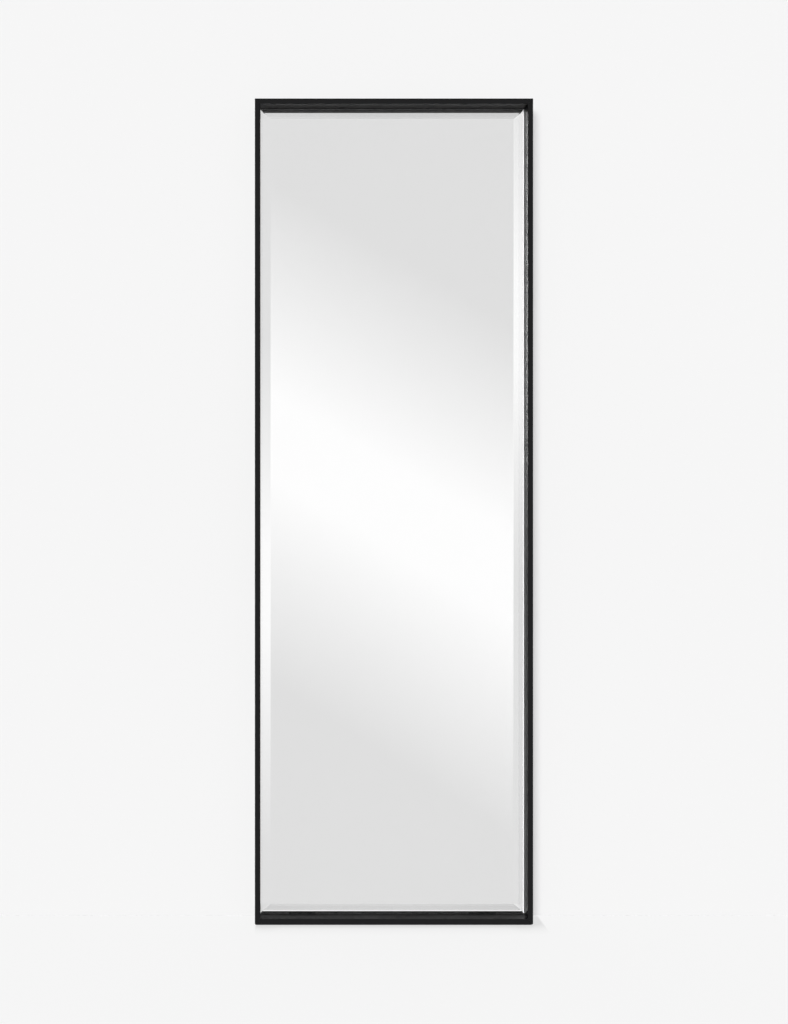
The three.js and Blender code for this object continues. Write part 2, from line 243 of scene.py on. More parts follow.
def castZinc():    # zinc as it leaves the die: greyer and duller than the plate, with a grainy skin
    material, tree, shader, point = newMaterial("rawDieCastZinc", {"Metallic": 1.0, "Roughness": 0.55})
    grain = addNode(tree, "ShaderNodeTexNoise", {"Vector": point, "Scale": 1 / (0.8 * mm), "Detail": 3.0})
    colour = addNode(tree, "ShaderNodeMix", {
        0: grain.outputs[0], 6: toLinear("#7C7F82"), 7: toLinear("#A0A3A6"),
    }, data_type="RGBA")
    relief = addNode(tree, "ShaderNodeBump", {"Height": grain.outputs[0], "Distance": 0.03 * mm})
    tree.links.new(colour.outputs[2], shader.inputs["Base Color"])
    tree.links.new(relief.outputs[0], shader.inputs["Normal"])
    return material


def mouldedRubber():    # black moulded rubber: matt, with a dusty bloom
    material, tree, shader, point = newMaterial("blackMouldedRubber", {
        "Roughness": 0.85, "Specular IOR Level": 0.3,
    })
    bloom = addNode(tree, "ShaderNodeTexNoise", {"Vector": point, "Scale": 1 / (7 * mm), "Detail": 3.0})
    colour = addNode(tree, "ShaderNodeMix", {
        0: bloom.outputs[0], 6: toLinear("#171718"), 7: toLinear("#29292A"),
    }, data_type="RGBA")
    grain = addNode(tree, "ShaderNodeTexNoise", {"Vector": point, "Scale": 1 / (0.8 * mm), "Detail": 1.0})
    relief = addNode(tree, "ShaderNodeBump", {"Height": grain.outputs[0], "Distance": 0.04 * mm})
    tree.links.new(colour.outputs[2], shader.inputs["Base Color"])
    tree.links.new(relief.outputs[0], shader.inputs["Normal"])
    return material


def finishMesh(mesh, smoothAngle=30):
    work = bmesh.new()
    work.from_mesh(mesh)
    bmesh.ops.remove_doubles(work, verts=work.verts, dist=1e-6)
    bmesh.ops.recalc_face_normals(work, faces=work.faces)
    work.to_mesh(mesh)
    work.free()
    mesh.shade_smooth()
    mesh.set_sharp_from_angle(angle=math.radians(smoothAngle))


def newPiece(name, mesh):
    piece = bpy.data.objects.new(name, mesh)
    bpy.context.scene.collection.objects.link(piece)
    return piece


def pieceFrom(name, vertices, faces, materials, smoothAngle=30):
    mesh = bpy.data.meshes.new(name)
    mesh.from_pydata([tuple(point) for point in vertices], [], faces)
    for material in materials:
        mesh.materials.append(material)
    finishMesh(mesh, smoothAngle)
    return newPiece(name, mesh)


def dress(piece, body, slot, *nodes):
    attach(piece, body)
    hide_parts(*nodes)


def loft(rings, closed=False):    # quads from ring to ring, with a cap at each end unless it closes
    count = len(rings[0])
    vertices = [point for ring in rings for point in ring]
    faces = []
    for i in range(len(rings) if closed else len(rings) - 1):
        a, b = i * count, (i + 1) % len(rings) * count
        faces += [(a + j, a + (j + 1) % count, b + (j + 1) % count, b + j) for j in range(count)]
    if not closed:
        faces += [tuple(range(count)), tuple(range(len(vertices) - count, len(vertices)))]
    return vertices, faces


def roundedOutline(width, height, radius, segments, margin=0.0):
    # a rectangle about the origin with round corners; margin adds a point on each flat, just past its arc
    points = []
    for i, (sx, sy) in enumerate([(1, 1), (-1, 1), (-1, -1), (1, -1)]):
        centre = Vector((sx * (width / 2 - radius), sy * (height / 2 - radius)))
        angles = [math.pi / 2 * (i + k / segments) for k in range(segments + 1)]
        arc = [centre + radius * Vector((math.cos(a), math.sin(a))) for a in angles]
        if margin:
            before = Vector((math.sin(angles[0]), -math.cos(angles[0]))) * margin
            after = Vector((-math.sin(angles[-1]), math.cos(angles[-1]))) * margin
            arc = [arc[0] + before] + arc + [arc[-1] + after]
        points += arc
    return points


tube = {
    "face": 11.4 * mm,     # width seen from the front
    "depth": 58 * mm,
    "wall": 1.2 * mm,
    "corner": 0.45 * mm,   # outside radius of the tube's long edges
    "innerCorner": 0.2 * mm,
    "cornerSteps": 4,
    "cornerMargin": 0.4 * mm,
    "mitre": 0.05 * mm,    # each mitre stops this far short of its joint
}


def addMember(name, length, turn, place, material):
    # drawn along Z with its outer face at X = 0, then turned about Y to its side of the frame
    half = length / 2 - tube["mitre"] * math.sqrt(2)
    wall, face, depth = tube["wall"], tube["face"], tube["depth"]
    steps, margin = tube["cornerSteps"], tube["cornerMargin"]
    outer = roundedOutline(face, depth, tube["corner"], steps, margin)
    inner = roundedOutline(face - 2 * wall, depth - 2 * wall, tube["innerCorner"], steps, margin)
    toFrame = Matrix.Translation(place) @ Matrix.Rotation(turn, 4, "Y")
    rings = []
    for outline, end in [(outer, 1), (outer, -1), (inner, -1), (inner, 1)]:
        mitred = [Vector((p.x + face / 2, p.y, end * (half - p.x - face / 2))) for p in outline]
        rings.append([toFrame @ point for point in mitred])
    vertices, faces = loft(rings, closed=True)
    dress(pieceFrom(name + "_tube", vertices, faces, [material]), "mirror", "powder_coat", name)


def addFrame(material):
    low, high = Vector(cadBox[0]), Vector(cadBox[1])
    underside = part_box("bottom_rail")[0].z
    middleY = low.y + tube["depth"] / 2
    width, height = high.x - low.x, high.z - underside
    middleZ = underside + height / 2
    addMember("left_stile", height, 0, Vector((low.x, middleY, middleZ)), material)
    addMember("right_stile", height, math.pi, Vector((high.x, middleY, middleZ)), material)
    addMember("top_rail", width, math.pi / 2, Vector((0, middleY, high.z)), material)
    addMember("bottom_rail", width, -math.pi / 2, Vector((0, middleY, underside)), material)
    print("frame: four mitred tubes")


pane = {
    "bevel": {"left": 22.8 * mm, "right": 24.0 * mm, "bottom": 21.6 * mm, "top": 22.0 * mm},
    "edge": 3 * mm,            # upright edge left below the bevel
    "chamfer": 0.3 * mm,
    "crease": 0.15 * mm,       # half width of the softened line between the bevel and the flat
    "filmGap": 0.03 * mm,      # keeps the silver clear of the safety film
    "outerStrip": {"left": 0.4 * mm, "right": 2.4 * mm, "bottom": 0.4 * mm, "top": 0.4 * mm},
    "ground": "right",         # the side whose outer strip is ground, wide and white, lit by the sun and by its painted glow into a highlight line; it is polished on the others
    # the silver behind each bevel lies in four strips: the first three end this far from the edge
    "strips": {
        "left": (1.5 * mm, 4.3 * mm, 7.1 * mm), "right": (1.5 * mm, 4.3 * mm, 7.1 * mm),
        "bottom": (1.5 * mm, 4.3 * mm, 7.1 * mm), "top": (1.5 * mm, 4.3 * mm, 7.6 * mm),
    },
    # and the last ends this far short of the crease, because light slants through the pane
    "slant": {"left": 0.0, "right": 0.8 * mm, "bottom": 1.1 * mm, "top": 1.1 * mm},
    # degrees by which each strip, from the edge inwards, tilts to face the middle
    "tilt": {
        "left": (2.5, 2.5, 2.5, 2.5), "right": (5.2, 5.2, 5.2, 5.2),
        "bottom": (-3.0, -3.0, 4.6, 4.6), "top": (0.0, 0.0, 0.0, 0.0),
    },
    # the same at the mitred ends of the left and right bevels: sideways, and up or down
    "endTilt": {"left": (10.4, 5.6), "right": (5.2, 5.6)},
    # painted shade: how much of the light each strip sends back, darkening the top and bottom bevels, with
    # dark outer strips that stand in for the frame's reflection and a brighter painted line along the bottom
    "paintedShade": {
        "left": (1.0, 1.0, 1.0, 1.0), "right": (1.0, 1.0, 1.0, 1.0),
        "bottom": (0.05, 0.2, 0.96, 0.69), "top": (0.05, 0.35, 0.4, 0.87),
    },
}
inward = {"left": (1, 0, 0), "right": (-1, 0, 0), "bottom": (0, 0, 1), "top": (0, 0, -1)}
glassSlot, frostSlot, silverSlot = 0, 1, 2    # the pane's materials


def silverFace(work, layers, points, side, strip, end):
    face = work.faces.new(points)
    face.material_index = silverSlot
    tilts = {}
    if side:
        tilts[side] = pane["tilt"][side][strip]
    if end:
        tilts[side], tilts[end] = pane["endTilt"][side]
    # the painted shade of this strip, which dims what it reflects
    paintedShade = pane["paintedShade"][side][strip] if side else 1.0
    leans = [Vector(inward[way]) * math.tan(math.radians(angle)) for way, angle in tilts.items()]
    face[layers[0]] = sum(leans, Vector())
    face[layers[1]] = (paintedShade, paintedShade, paintedShade)


def addSilver(work, layers, low, high):
    # a grid over the back: each cell lies behind one bevel, and the cells on a mitre are cut along it
    ends = {side: (0.0, *pane["strips"][side], pane["bevel"][side] - pane["slant"][side]) for side in inward}
    xs = [low.x + s for s in ends["left"]] + [high.x - s for s in ends["right"][::-1]]
    zs = [low.z + s for s in ends["bottom"]] + [high.z - s for s in ends["top"][::-1]]
    grid = [[work.verts.new((x, high.y, z)) for z in zs] for x in xs]
    last = len(xs) - 1
    flat = last // 2
    for i in range(last):
        for j in range(last):
            across, up = min(i, last - 1 - i), min(j, last - 1 - j)
            side = "left" if i < flat else "right"
            rail = "bottom" if j < flat else "top"
            end = rail if up < flat else None
            cell = [grid[i][j], grid[i + 1][j], grid[i + 1][j + 1], grid[i][j + 1]]
            if across == up == flat:
                silverFace(work, layers, cell, None, 0, None)
            elif across < up:
                silverFace(work, layers, cell, side, across, end)
            elif up < across:
                silverFace(work, layers, cell, rail, up, None)
            else:
                outer = (i if side == "left" else i + 1, j if rail == "bottom" else j + 1)
                inner = (2 * i + 1 - outer[0], 2 * j + 1 - outer[1])
                mitre = [grid[outer[0]][outer[1]], grid[inner[0]][inner[1]]]
                silverFace(work, layers, mitre + [grid[outer[0]][inner[1]]], side, across, end)
                silverFace(work, layers, mitre + [grid[inner[0]][outer[1]]], rail, up, None)
    bottom, right = [column[0] for column in grid], grid[last]
    top, left = [column[last] for column in grid[::-1]], grid[0][::-1]
    return [bottom, right, top, left]    # the grid's rim, side by side


def addMirror(glass, frost, silver):
    low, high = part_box("mirror_glass")
    high.y -= pane["filmGap"]
    bevel, crease, chamfer = pane["bevel"], pane["crease"], pane["chamfer"]
    rimY = high.y - pane["edge"]
    slope = (rimY - low.y) / bevel["left"]
    sides = ["bottom", "right", "top", "left"]
    work = bmesh.new()
    # per face: the strip's tilt and its painted shade
    layers = [work.faces.layers.float_vector.new(name) for name in ("lean", "paintedShade")]
    rings = []
    for insets, y in [
        ({side: width + crease for side, width in bevel.items()}, low.y),
        ({side: width - crease for side, width in bevel.items()}, low.y + slope * crease),
        (pane["outerStrip"], rimY - slope * pane["outerStrip"]["left"]),
        (dict.fromkeys(bevel, chamfer), rimY),
        (dict.fromkeys(bevel, 0.0), rimY + chamfer),
    ]:
        left, right = low.x + insets["left"], high.x - insets["right"]
        bottom, top = low.z + insets["bottom"], high.z - insets["top"]
        corners = [(left, bottom), (right, bottom), (right, top), (left, top)]
        rings.append([work.verts.new((x, y, z)) for x, z in corners])
    work.faces.new(rings[0])
    for k in range(len(rings) - 1):    # crease, bevel, outer strip and chamfer
        for i, side in enumerate(sides):
            j = (i + 1) % len(sides)
            face = work.faces.new([rings[k][i], rings[k][j], rings[k + 1][j], rings[k + 1][i]])
            face.material_index = frostSlot if k > 1 and side == pane["ground"] else glassSlot
    for i, rim in enumerate(addSilver(work, layers, low, high)):
        edge = work.faces.new([rings[-1][i], rings[-1][(i + 1) % len(sides)]] + rim[::-1])
        edge.material_index = frostSlot
    mesh = bpy.data.meshes.new("mirror_glass_pane")
    work.to_mesh(mesh)
    work.free()
    for material in (glass, frost, silver):
        mesh.materials.append(material)
    finishMesh(mesh, smoothAngle=1)
    dress(newPiece("mirror_glass_pane", mesh), "mirror", "mirror_glass", "mirror_glass")
    print("mirror: bevelled and silvered pane")


board = {
    "eased": 0.4 * mm,    # sanded edge
}


def addBoard(material):
    low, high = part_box("backing_board")
    work = bmesh.new()
    place = Matrix.Translation((low + high) / 2) @ Matrix.Diagonal((*(high - low), 1))
    bmesh.ops.create_cube(work, size=1.0, matrix=place)
    bmesh.ops.bevel(work, geom=work.edges[:], offset=board["eased"], segments=2, profile=0.5, affect="EDGES")
    mesh = bpy.data.meshes.new("backing_board_sanded")
    work.to_mesh(mesh)
    work.free()
    mesh.materials.append(material)
    finishMesh(mesh)
    dress(newPiece("backing_board_sanded", mesh), "mirror", "fibreboard", "backing_board")
    print("backing board")


def bentStrip(sections, thickness, chamfer, place):
    # a section is given by a point on the middle line, the way out of the sheet and half the width, along Z
    rings = []
    for point, out, half in sections:
        corners = [
            (half - chamfer, thickness / 2), (half, thickness / 2 - chamfer),
            (half, chamfer - thickness / 2), (half - chamfer, -thickness / 2),
            (chamfer - half, -thickness / 2), (-half, chamfer - thickness / 2),
            (-half, thickness / 2 - chamfer), (chamfer - half, thickness / 2),
        ]
        rings.append([place @ Vector((point.x + out.x * t, point.y + out.y * t, w)) for w, t in corners])
    return loft(rings)


def roundedEnd(fromEnd, half, radius):    # half width of a strip near its end
    inside = max(radius - fromEnd, 0)
    return half - radius + math.sqrt(radius ** 2 - inside ** 2)


def newTree(name, floats):    # a geometry tree with one named input for each size
    tree = bpy.data.node_groups.new(name, "GeometryNodeTree")
    tree.interface.new_socket("Geometry", in_out="INPUT", socket_type="NodeSocketGeometry")
    tree.interface.new_socket("Geometry", in_out="OUTPUT", socket_type="NodeSocketGeometry")
    tree.interface.new_socket("Material", in_out="INPUT", socket_type="NodeSocketMaterial")
    tree.interface.new_socket("Shape", in_out="INPUT", socket_type="NodeSocketObject")
    for size in floats:
        tree.interface.new_socket(size, in_out="INPUT", socket_type="NodeSocketFloat")
    return tree, addNode(tree, "NodeGroupInput").outputs


def endTree(tree, given, shape):    # a copy of the shape at each point, turned as it says and made real
    turn = addNode(tree, "GeometryNodeInputNamedAttribute", {"Name": "turn"}, data_type="FLOAT_VECTOR")
    rotation = addNode(tree, "FunctionNodeEulerToRotation", {0: turn.outputs["Attribute"]})
    copies = addNode(tree, "GeometryNodeInstanceOnPoints", {
        "Points": given["Geometry"], "Instance": shape, "Rotation": rotation.outputs[0],
    })
    real = addNode(tree, "GeometryNodeRealizeInstances", {0: copies.outputs[0]})
    painted = addNode(tree, "GeometryNodeSetMaterial", {
        "Geometry": real.outputs[0], "Material": given["Material"],
    })
    addNode(tree, "NodeGroupOutput", {"Geometry": painted.outputs[0]})


def runTree(name, tree, places, inputs):    # places are points with turns; the result is one plain mesh
    mesh = bpy.data.meshes.new(name + "Places")
    mesh.from_pydata([tuple(point) for point, _ in places], [], [])
    turns = mesh.attributes.new("turn", "FLOAT_VECTOR", "POINT")
    turns.data.foreach_set("vector", [angle for _, turn in places for angle in turn])
    carrier = newPiece(name + "Places", mesh)
    modifier = carrier.modifiers.new("copies", "NODES")
    modifier.node_group = tree
    for item in tree.interface.items_tree:
        if item.in_out == "INPUT" and item.name in inputs:
            modifier[item.identifier] = inputs[item.name]
    graph = bpy.context.evaluated_depsgraph_get()
    result = bpy.data.meshes.new_from_object(carrier.evaluated_get(graph))
    result.name = name
    bpy.data.objects.remove(carrier)
    finishMesh(result)
    return newPiece(name, result)


clip = {
    "thickness": 1.5 * mm,
    "bend": 2.5 * mm,        # outside radius of the fold
    "chamfer": 0.15 * mm,
    "corner": 3 * mm,
    "rim": (0.02 * mm, 0.3 * mm, 0.8 * mm, 1.6 * mm),    # where the sections of each round end lie
    "steps": 8,              # faces round the fold
}
clipTurns = {"left": 0.0, "right": math.pi, "top": math.pi / 2, "bottom": -math.pi / 2}    # about Y


def addClips(material):
    # the pattern clip lies as on the left stile: its board leg runs along X, its wall leg along Y
    low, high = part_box("panel_clip_left_2")
    reach, height, half = high.x - low.x, high.y - low.y, (high.z - low.z) / 2
    t, bend, corner = clip["thickness"], clip["bend"], clip["corner"]
    rim = [*clip["rim"], corner]
    sections = [(Vector((t / 2, height - s)), Vector((1, 0)), roundedEnd(s, half, corner)) for s in rim]
    for k in range(clip["steps"] + 1):
        a = math.pi * (1 + k / clip["steps"] / 2)
        out = Vector((-math.cos(a), -math.sin(a)))
        sections.append((Vector((bend, bend)) - out * (bend - t / 2), out, half))
    boardLeg = [(Vector((reach - s, t / 2)), Vector((0, 1)), roundedEnd(s, half, corner)) for s in rim]
    sections += boardLeg[::-1]
    vertices, faces = bentStrip(sections, t, clip["chamfer"], Matrix.Identity(4))
    pattern = pieceFrom("clipPattern", vertices, faces, [material])

    nodes = sorted(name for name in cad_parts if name.startswith("panel_clip"))
    places = []
    for node in nodes:
        low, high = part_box(node)
        turn = clipTurns[node.split("_")[2]]
        toCorner = Matrix.Rotation(turn, 3, "Y") @ Vector((reach / 2, height / 2, 0))
        places.append(((low + high) / 2 - toCorner, (0, turn, 0)))
    tree, given = newTree("clipCopies", [])
    source = addNode(tree, "GeometryNodeObjectInfo", {"Object": given["Shape"]}, transform_space="ORIGINAL")
    endTree(tree, given, source.outputs["Geometry"])
    piece = runTree("panel_clips", tree, places, {"Material": material, "Shape": pattern})
    bpy.data.objects.remove(pattern)
    dress(piece, "mirror", "zinc_plate", *nodes)
    print("clips:", len(nodes))


screw = {
    "Head Radius": 2.8 * mm,
    "Head Height": 1.8 * mm,
    "Crown Radius": 4.8 * mm,     # of the ball that the domed top is part of
    "Recess Length": 3.8 * mm,    # of each bar of the cross
    "Recess Width": 0.75 * mm,
    "Recess Depth": 0.95 * mm,
    "Shank Radius": 1.6 * mm,
    "Shank Length": 6.4 * mm,
    "Point Length": 1.6 * mm,
    "Point Radius": 0.4 * mm,
}
headSides, crownRings, shankSides = 32, 48, 24
crossStep = 37    # degrees from the cross of one screw to the next, so that each is left at its own angle


def screwTree():    # the head's flat underside is at 0, with the cross above it and the shank below, along Z
    tree, given = newTree("panScrews", screw)
    top, crown = given["Head Height"], given["Crown Radius"]
    recessHeight = addNode(tree, "ShaderNodeMath", {0: given["Recess Depth"], 1: 2.0}, operation="MULTIPLY")
    drumZ = addNode(tree, "ShaderNodeMath", {0: top, 1: 0.5}, operation="MULTIPLY")
    ballZ = addNode(tree, "ShaderNodeMath", {0: top, 1: crown}, operation="SUBTRACT")
    shankZ = addNode(tree, "ShaderNodeMath", {0: given["Shank Length"], 1: -0.5}, operation="MULTIPLY")
    wholeLength = addNode(tree, "ShaderNodeMath", {0: given["Shank Length"], 1: given["Point Length"]},
                          operation="ADD")
    pointZ = addNode(tree, "ShaderNodeMath", {0: wholeLength.outputs[0], 1: -1.0}, operation="MULTIPLY")
    bars = []
    for x, y in [("Recess Length", "Recess Width"), ("Recess Width", "Recess Length")]:
        size = addNode(tree, "ShaderNodeCombineXYZ", {0: given[x], 1: given[y], 2: recessHeight.outputs[0]})
        bars.append(addNode(tree, "GeometryNodeMeshCube", {"Size": size.outputs[0]}))
    drum = addNode(tree, "GeometryNodeMeshCylinder", {
        "Vertices": headSides, "Radius": given["Head Radius"], "Depth": top,
    })
    ball = addNode(tree, "GeometryNodeMeshUVSphere", {
        "Segments": headSides, "Rings": crownRings, "Radius": crown,
    })
    shank = addNode(tree, "GeometryNodeMeshCylinder", {
        "Vertices": shankSides, "Radius": given["Shank Radius"], "Depth": given["Shank Length"],
    })
    point = addNode(tree, "GeometryNodeMeshCone", {
        "Vertices": shankSides, "Depth": given["Point Length"],
        "Radius Top": given["Shank Radius"], "Radius Bottom": given["Point Radius"],
    })
    head = addNode(tree, "GeometryNodeMeshBoolean", operation="INTERSECT")
    slotted = addNode(tree, "GeometryNodeMeshBoolean", {"Mesh 1": head.outputs["Mesh"]},
                      operation="DIFFERENCE")
    whole = addNode(tree, "GeometryNodeJoinGeometry", {0: slotted.outputs["Mesh"]})
    for shape, z, goesTo in [
        (drum, drumZ.outputs[0], head.inputs["Mesh 2"]), (ball, ballZ.outputs[0], head.inputs["Mesh 2"]),
        (bars[0], top, slotted.inputs["Mesh 2"]), (bars[1], top, slotted.inputs["Mesh 2"]),
        (shank, shankZ.outputs[0], whole.inputs[0]), (point, pointZ.outputs[0], whole.inputs[0]),
    ]:
        up = addNode(tree, "ShaderNodeCombineXYZ", {2: z})
        placed = addNode(tree, "GeometryNodeTransform", {
            "Geometry": shape.outputs["Mesh"], "Translation": up.outputs[0],
        })
        tree.links.new(placed.outputs[0], goesTo)
    endTree(tree, given, whole.outputs[0])
    return tree


def screwPlace(node):    # where the underside of the head sits, and the turn that points the head outwards
    low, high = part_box(node)
    middle, size, head = (low + high) / 2, high - low, screw["Head Height"]
    if size.y > max(size.x, size.z):
        return Vector((middle.x, high.y - head, middle.z)), Euler((-math.pi / 2, 0, 0))
    if size.x > size.z:    # driven sideways into a stile, with its head towards the middle
        if middle.x < 0:
            return Vector((high.x - head, middle.y, middle.z)), Euler((0, math.pi / 2, 0))
        return Vector((low.x + head, middle.y, middle.z)), Euler((0, -math.pi / 2, 0))
    if middle.z < cadBox[1][2] / 2:
        return Vector((middle.x, middle.y, high.z - head)), Euler((0, 0, 0))
    return Vector((middle.x, middle.y, low.z + head)), Euler((math.pi, 0, 0))


def addScrews(material):
    nodes = sorted(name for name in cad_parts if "screw" in name)
    places = []
    for i, node in enumerate(nodes):
        point, turn = screwPlace(node)
        driven = Matrix.Rotation(math.radians(crossStep * i % 90), 3, "Z")
        places.append((point, (turn.to_matrix() @ driven).to_euler()))
    piece = runTree("pan_screws", screwTree(), places, {"Material": material, **screw})
    dress(piece, "mirror", "zinc_plate", *nodes)
    print("screws:", len(nodes))


hanger = {
    "thickness": 1.2 * mm,
    "bore": 1.8 * mm,        # radius inside the curl
    "sweep": 296,            # degrees of curl, from the plate round to its free end
    "curlSteps": 30,
    "lead": 4 * mm,          # the plate's last section is this far below the pivot
    "chamfer": 0.15 * mm,
    # where the sections of the plate's round lower end lie, from its tip
    "rim": (0.03 * mm, 0.2 * mm, 0.6 * mm, 1.2 * mm, 2.2 * mm, 3.6 * mm, 5.2 * mm),
    "wire": 1.5 * mm,        # radius of the ring's wire
    "sides": 20,             # round the wire
    "bend": 2.5 * mm,        # radius of the ring's upper corners, to the middle of the wire
    "bendSteps": 8,
    "bowSteps": 36,
}


def addStrap(name, material):
    low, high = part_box(name)
    t, bore = hanger["thickness"], hanger["bore"]
    half, middleX = (high.x - low.x) / 2, (low.x + high.x) / 2
    pivot = Vector((low.y + bore + t, high.z - bore - t))    # in Y and Z
    plate = Vector((-1, 0))
    rim = [*hanger["rim"], half]
    sections = [(Vector((low.y + t / 2, low.z + s)), plate, roundedEnd(s, half, half)) for s in rim]
    sections.append((Vector((low.y + t / 2, pivot.y - hanger["lead"])), plate, half))
    steps = hanger["curlSteps"]
    for k in range(steps + 1):
        a = math.pi - math.radians(hanger["sweep"]) * k / steps
        out = Vector((math.cos(a), math.sin(a)))
        sections.append((pivot + out * (bore + t / 2), out, half))
    toFrame = Matrix(((0, 0, 1, middleX), (1, 0, 0, 0), (0, 1, 0, 0), (0, 0, 0, 1)))
    vertices, faces = bentStrip(sections, t, hanger["chamfer"], toFrame)
    dress(pieceFrom(name + "_curled", vertices, faces, [material]), "mirror", "zinc_plate", name)


def ringLine(halfWidth, side):
    # the middle of the wire, in X and Z about the pivot: a D with its straight side in the strap
    bend = hanger["bend"]
    arcs = [
        (Vector((bend - halfWidth, -bend)), bend, 90, 180, hanger["bendSteps"]),
        (Vector((0, -side)), halfWidth, 180, 360, hanger["bowSteps"]),
        (Vector((halfWidth - bend, -bend)), bend, 0, 90, hanger["bendSteps"]),
    ]
    points = [Vector((x * (halfWidth - bend), 0)) for x in (0.5, 0, -0.5)]    # on the straight side
    for centre, radius, start, end, steps in arcs:
        for k in range(steps + 1):
            a = math.radians(start + (end - start) * k / steps)
            points.append(centre + radius * Vector((math.cos(a), math.sin(a))))
    return points


def addRing(name, body, material):
    low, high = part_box(name)
    wire, sides = hanger["wire"], hanger["sides"]
    halfWidth = (high.x - low.x) / 2 - wire
    pivot = Vector(((low.x + high.x) / 2, (low.y + high.y) / 2, high.z - wire))
    line = ringLine(halfWidth, pivot.z - low.z - wire - halfWidth)
    rings = []
    for i, point in enumerate(line):
        along = (line[(i + 1) % len(line)] - line[i - 1]).normalized()
        out = Vector((along.y, -along.x))
        ring = []
        for k in range(sides):
            a = 2 * math.pi * k / sides
            across = point + out * wire * math.cos(a)
            ring.append(pivot + Vector((across.x, wire * math.sin(a), across.y)))
        rings.append(ring)
    vertices, faces = loft(rings, closed=True)
    piece = pieceFrom(name + "_wire", vertices, faces, [material], smoothAngle=60)
    dress(piece, body, "zinc_plate", name)


def addHangers(material):
    for side in ("left", "right"):
        addStrap(f"hanger_strap_{side}", material)
        addRing(f"hanger_ring_{side}", f"{side}_ring", material)
    print("hangers: two straps and two rings")


feet = {
    "padCorner": 6 * mm,
    "cornerSteps": 8,
    "padEdge": 0.4 * mm,       # rounding of the pad's edges
    "padRound": 0.3,           # the rounding's middle point lies at this share of it, both ways
    "bumperDome": 0.8 * mm,    # how far the bumper's rim is rounded
    "domeSteps": 6,
    "bumperSides": 36,
}


def addPad(name, material):
    low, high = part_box(name)
    middle, size, edge = (low + high) / 2, high - low, feet["padEdge"]
    cut = edge * feet["padRound"]
    profile = [(low.z, edge), (low.z + cut, cut), (low.z + edge, 0.0),
               (high.z - edge, 0.0), (high.z - cut, cut), (high.z, edge)]
    rings = []
    for z, inset in profile:
        outline = roundedOutline(size.x - 2 * inset, size.y - 2 * inset, feet["padCorner"] - inset,
                                 feet["cornerSteps"])
        rings.append([Vector((middle.x + p.x, middle.y + p.y, z)) for p in outline])
    vertices, faces = loft(rings)
    dress(pieceFrom(name + "_moulded", vertices, faces, [material]), "mirror", "rubber", name)


def addBumper(name, material):
    low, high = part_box(name)
    middle, radius, dome = (low + high) / 2, (high.x - low.x) / 2, feet["bumperDome"]
    steps, sides = feet["domeSteps"], feet["bumperSides"]
    profile = [(low.y, radius)]
    for k in range(steps + 1):
        a = math.pi / 2 * k / steps
        profile.append((high.y - dome * (1 - math.sin(a)), radius - dome * (1 - math.cos(a))))
    turns = [2 * math.pi * k / sides for k in range(sides)]
    rings = []
    for y, r in profile:
        rings.append([Vector((middle.x + r * math.cos(a), y, middle.z + r * math.sin(a))) for a in turns])
    vertices, faces = loft(rings)
    piece = pieceFrom(name + "_moulded", vertices, faces, [material], smoothAngle=50)
    dress(piece, "mirror", "rubber", name)


def addFeet(material):
    for side in ("left", "right"):
        addPad(f"floor_pad_{side}", material)
        addBumper(f"wall_bumper_{side}", material)
    print("feet: two floor pads and two wall bumpers")


def finishInside(looks):    # pieces that keep the frame's own shape and take a fuller finish
    for name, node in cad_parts.items():
        for start, material in looks.items():
            if name.startswith(start):
                node.data.materials.clear()
                node.data.materials.append(material)
    print("inside pieces: film, tape, corner keys and setting blocks")


studio = {
    "paper": "#F6F6F6",          # tone of the background
    "reach": 3.0,                # half width of the floor and the wall, and height of the wall
    "wallGap": 0.5 * mm,
    "sunPower": 2.9,             # with the fill, a white card facing the mirror's way renders white
    "sunFrom": (20, 11),         # degrees to the left and up
    "sunSize": 20,               # degrees across, for a soft shadow
    "fill": (0.15, 1.0),         # plain light from in front of the mirror and from behind it
    "fillBlend": 0.2,            # how softly the two meet
    "wallShadow": 0.39,          # share of the wall's tone that the lamp gives
    "floorShadow": 0.05,
    "contact": 0.2,              # how much the floor's painted contact shadow darkens it where it meets the object
    "contactReach": 60 * mm,
    "contactOpen": (0.79, 1.0),  # how open the corner is where it is darkest, and where it stops darkening
    "gapOpen": (0.2, 0.36),      # the same in the gap under the frame, where the painted shadow turns the floor black
    "contactMiddle": 12.5 * mm,  # to either side of this point the darkening fades out along the floor,
    "contactEnd": (292 * mm, 318.5 * mm),    # between these distances
    "band": 0.312,               # extra light in the soft diagonal band that the mirror shows
    "bandNormal": (0.586, 0.0705, 1.0),
    "bandHalfWidth": (0.183, 0.031),         # where it ends and where it is full
    "glow": 4.2,                 # soft lamp far to the left, whose sheen the mirror throws on the frame
    "glowFrom": (-0.67, -1.0, 0.25),
    "glowAngle": (14, 6),        # degrees from its middle to where it ends and where it is full
    "flag": (-0.4, -0.05, 0.5),  # round the lamp the studio darkens between these directions, by this much
}


